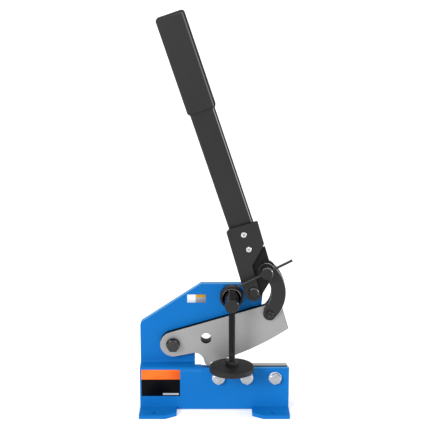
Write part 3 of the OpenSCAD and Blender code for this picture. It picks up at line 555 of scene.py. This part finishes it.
# Painted highlight on the lip, on the edges that face down at the top.
painted_lip_glint = add(tree, "Math", {0: turned_band(tree, normal, (0, 0, -1), 0.4),
                           1: inside.outputs[0]}, operation="MULTIPLY")
tone = add(tree, "Mix", {"Factor": painted_lip_glint.outputs[0], first: tone.outputs[mixed],
                         second: linear("D8CCC0")}, data_type="RGBA")
oiled = add(tree, "MapRange", {"Value": rim.outputs[0], "To Min": 0.95, "To Max": 0.35})
bump = add(tree, "Bump", {"Height": grain.outputs["Fac"], "Strength": 0.1,
                          "Distance": 0.0003})
surface = add(tree, "BsdfPrincipled", {
    "Base Color": tone.outputs[mixed], "Roughness": oiled.outputs[0],
    "Normal": bump.outputs[0], "Specular IOR Level": 0.12})
add(tree, "OutputMaterial", {"Surface": surface.outputs[0]})
edges_broken("clamp_cup", bored, 0.0008, weld=0.00005)


# Hold-down rod: M10 steel bar in black oxide, its coarse thread cut from end to end, on a flange
# that the pad turns on. One turn is drawn as one ridge of 1.5 mm, since the thread's lean can't
# be seen.
flange_t, pitch, crest_r, root_r = 0.003, 0.0015, 0.005, 0.0041
flank, land = 0.45 * pitch, 0.1 * pitch
rod_low, rod_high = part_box("hold_down_rod")
rod_x, rod_y = (rod_low[0] + rod_high[0]) / 2, (rod_low[1] + rod_high[1]) / 2
flange_r = (rod_high[0] - rod_low[0]) / 2
turns = int((rod_high[2] - rod_low[2] - flange_t) / pitch)
bpy.ops.mesh.primitive_cylinder_add(vertices=48, radius=flange_r, depth=flange_t, location=(
    rod_x, rod_y, rod_low[2] + flange_t / 2))
rod = bpy.context.object
rod.name = "hold_down_rod_threaded"
bpy.ops.object.transform_apply(location=True, rotation=True, scale=True)
bpy.ops.mesh.primitive_circle_add(vertices=32, radius=root_r, location=(
    rod_x, rod_y, rod_high[2] - turns * pitch))
shaft = bpy.context.object
rod.select_set(False)
bpy.ops.object.mode_set(mode="EDIT")
bpy.ops.mesh.select_all(action="SELECT")
for rise, grow in ((flank, crest_r / root_r), (land, 1), (flank, root_r / crest_r)):
    bpy.ops.mesh.extrude_region_move(TRANSFORM_OT_translate={"value": (0, 0, rise)})
    bpy.ops.transform.resize(value=(grow, grow, 1))
bpy.ops.object.mode_set(mode="OBJECT")
bpy.ops.object.transform_apply(location=True, rotation=True, scale=True)
ridges = shaft.modifiers.new("ridges", "ARRAY")
ridges.count = turns
ridges.use_relative_offset = False
ridges.use_constant_offset = True
ridges.constant_offset_displace = (0, 0, pitch)
ridges.use_merge_vertices = True
ridges.merge_threshold = 0.00001
bpy.ops.object.modifier_apply(modifier="ridges")
bpy.ops.object.mode_set(mode="EDIT")
bpy.ops.mesh.select_all(action="DESELECT")
bpy.ops.mesh.select_non_manifold()
bpy.ops.mesh.fill()
bpy.ops.mesh.select_all(action="SELECT")
bpy.ops.mesh.normals_make_consistent(inside=False)
bpy.ops.object.mode_set(mode="OBJECT")
rod.select_set(True)
bpy.context.view_layer.objects.active = rod
bpy.ops.object.join()
bpy.ops.object.shade_smooth_by_angle(angle=sharp)
rod.data.materials.append(plain_oxide)
rod.select_set(False)
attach(rod, "hold_down_rod")
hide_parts("hold_down_rod")


# Grip: a sleeve of soft PVC, dip moulded and pulled over the tube. It is dead matt, with a
# leather grain of 1.4 mm from the mould. A light line is painted along its right edge as a
# highlight, and past it the edge is painted near black and rough, as shade.
pvc, tree, place, normal = new_material("moulded_soft_pvc_black")
grain = add(tree, "TexVoronoi", {"Vector": place, "Scale": per_metre(1.43)}, feature="F1")
haze = add(tree, "TexNoise", {"Vector": place, "Scale": per_metre(55.6), "Detail": 3})
skin = add(tree, "Mix", {"Factor": haze.outputs["Fac"], first: linear("1D1D1D"),
                         second: linear("252525")}, data_type="RGBA")
# Painted highlight along the right edge.
tone = add(tree, "Mix", {"Factor": turned_band(tree, normal, handle_right, 0.85),
                         first: skin.outputs[mixed], second: linear("525252")},
           data_type="RGBA")
# Painted shade past the highlight.
past = turned_band(tree, normal, handle_right, 0.2, start=0.7)
tone = add(tree, "Mix", {"Factor": past, first: tone.outputs[mixed],
                         second: linear("0A0A0A")}, data_type="RGBA")
dull = add(tree, "MapRange", {"Value": past, "To Min": 0.6, "To Max": 0.9})
bump = add(tree, "Bump", {"Height": grain.outputs["Distance"], "Strength": 0.15,
                          "Distance": 0.0004})
surface = add(tree, "BsdfPrincipled", {
    "Base Color": tone.outputs[mixed], "Roughness": dull.outputs[0],
    "Normal": bump.outputs[0], "Specular IOR Level": 0.25})
add(tree, "OutputMaterial", {"Surface": surface.outputs[0]})
edges_broken("handle_grip", pvc, 0.001, weld=0.0001)


# Hold-down pad: a turned cast-iron disc, painted black, with the 2 mm grain of the casting under
# the paint.
cast, tree, place, _ = new_material("painted_cast_iron_black")
grain = add(tree, "TexNoise", {"Vector": place, "Scale": per_metre(2.22), "Detail": 4,
                               "Roughness": 0.7})
tone = add(tree, "Mix", {"Factor": grain.outputs["Fac"], first: linear("141415"),
                         second: linear("1F1F20")}, data_type="RGBA")
bump = add(tree, "Bump", {"Height": grain.outputs["Fac"], "Strength": 0.2,
                          "Distance": 0.0004})
surface = add(tree, "BsdfPrincipled", {
    "Base Color": tone.outputs[mixed], "Roughness": 0.5, "Normal": bump.outputs[0],
    "Specular IOR Level": 0.22})
add(tree, "OutputMaterial", {"Surface": surface.outputs[0]})
edges_broken("hold_down_pad", cast, 0.0006)
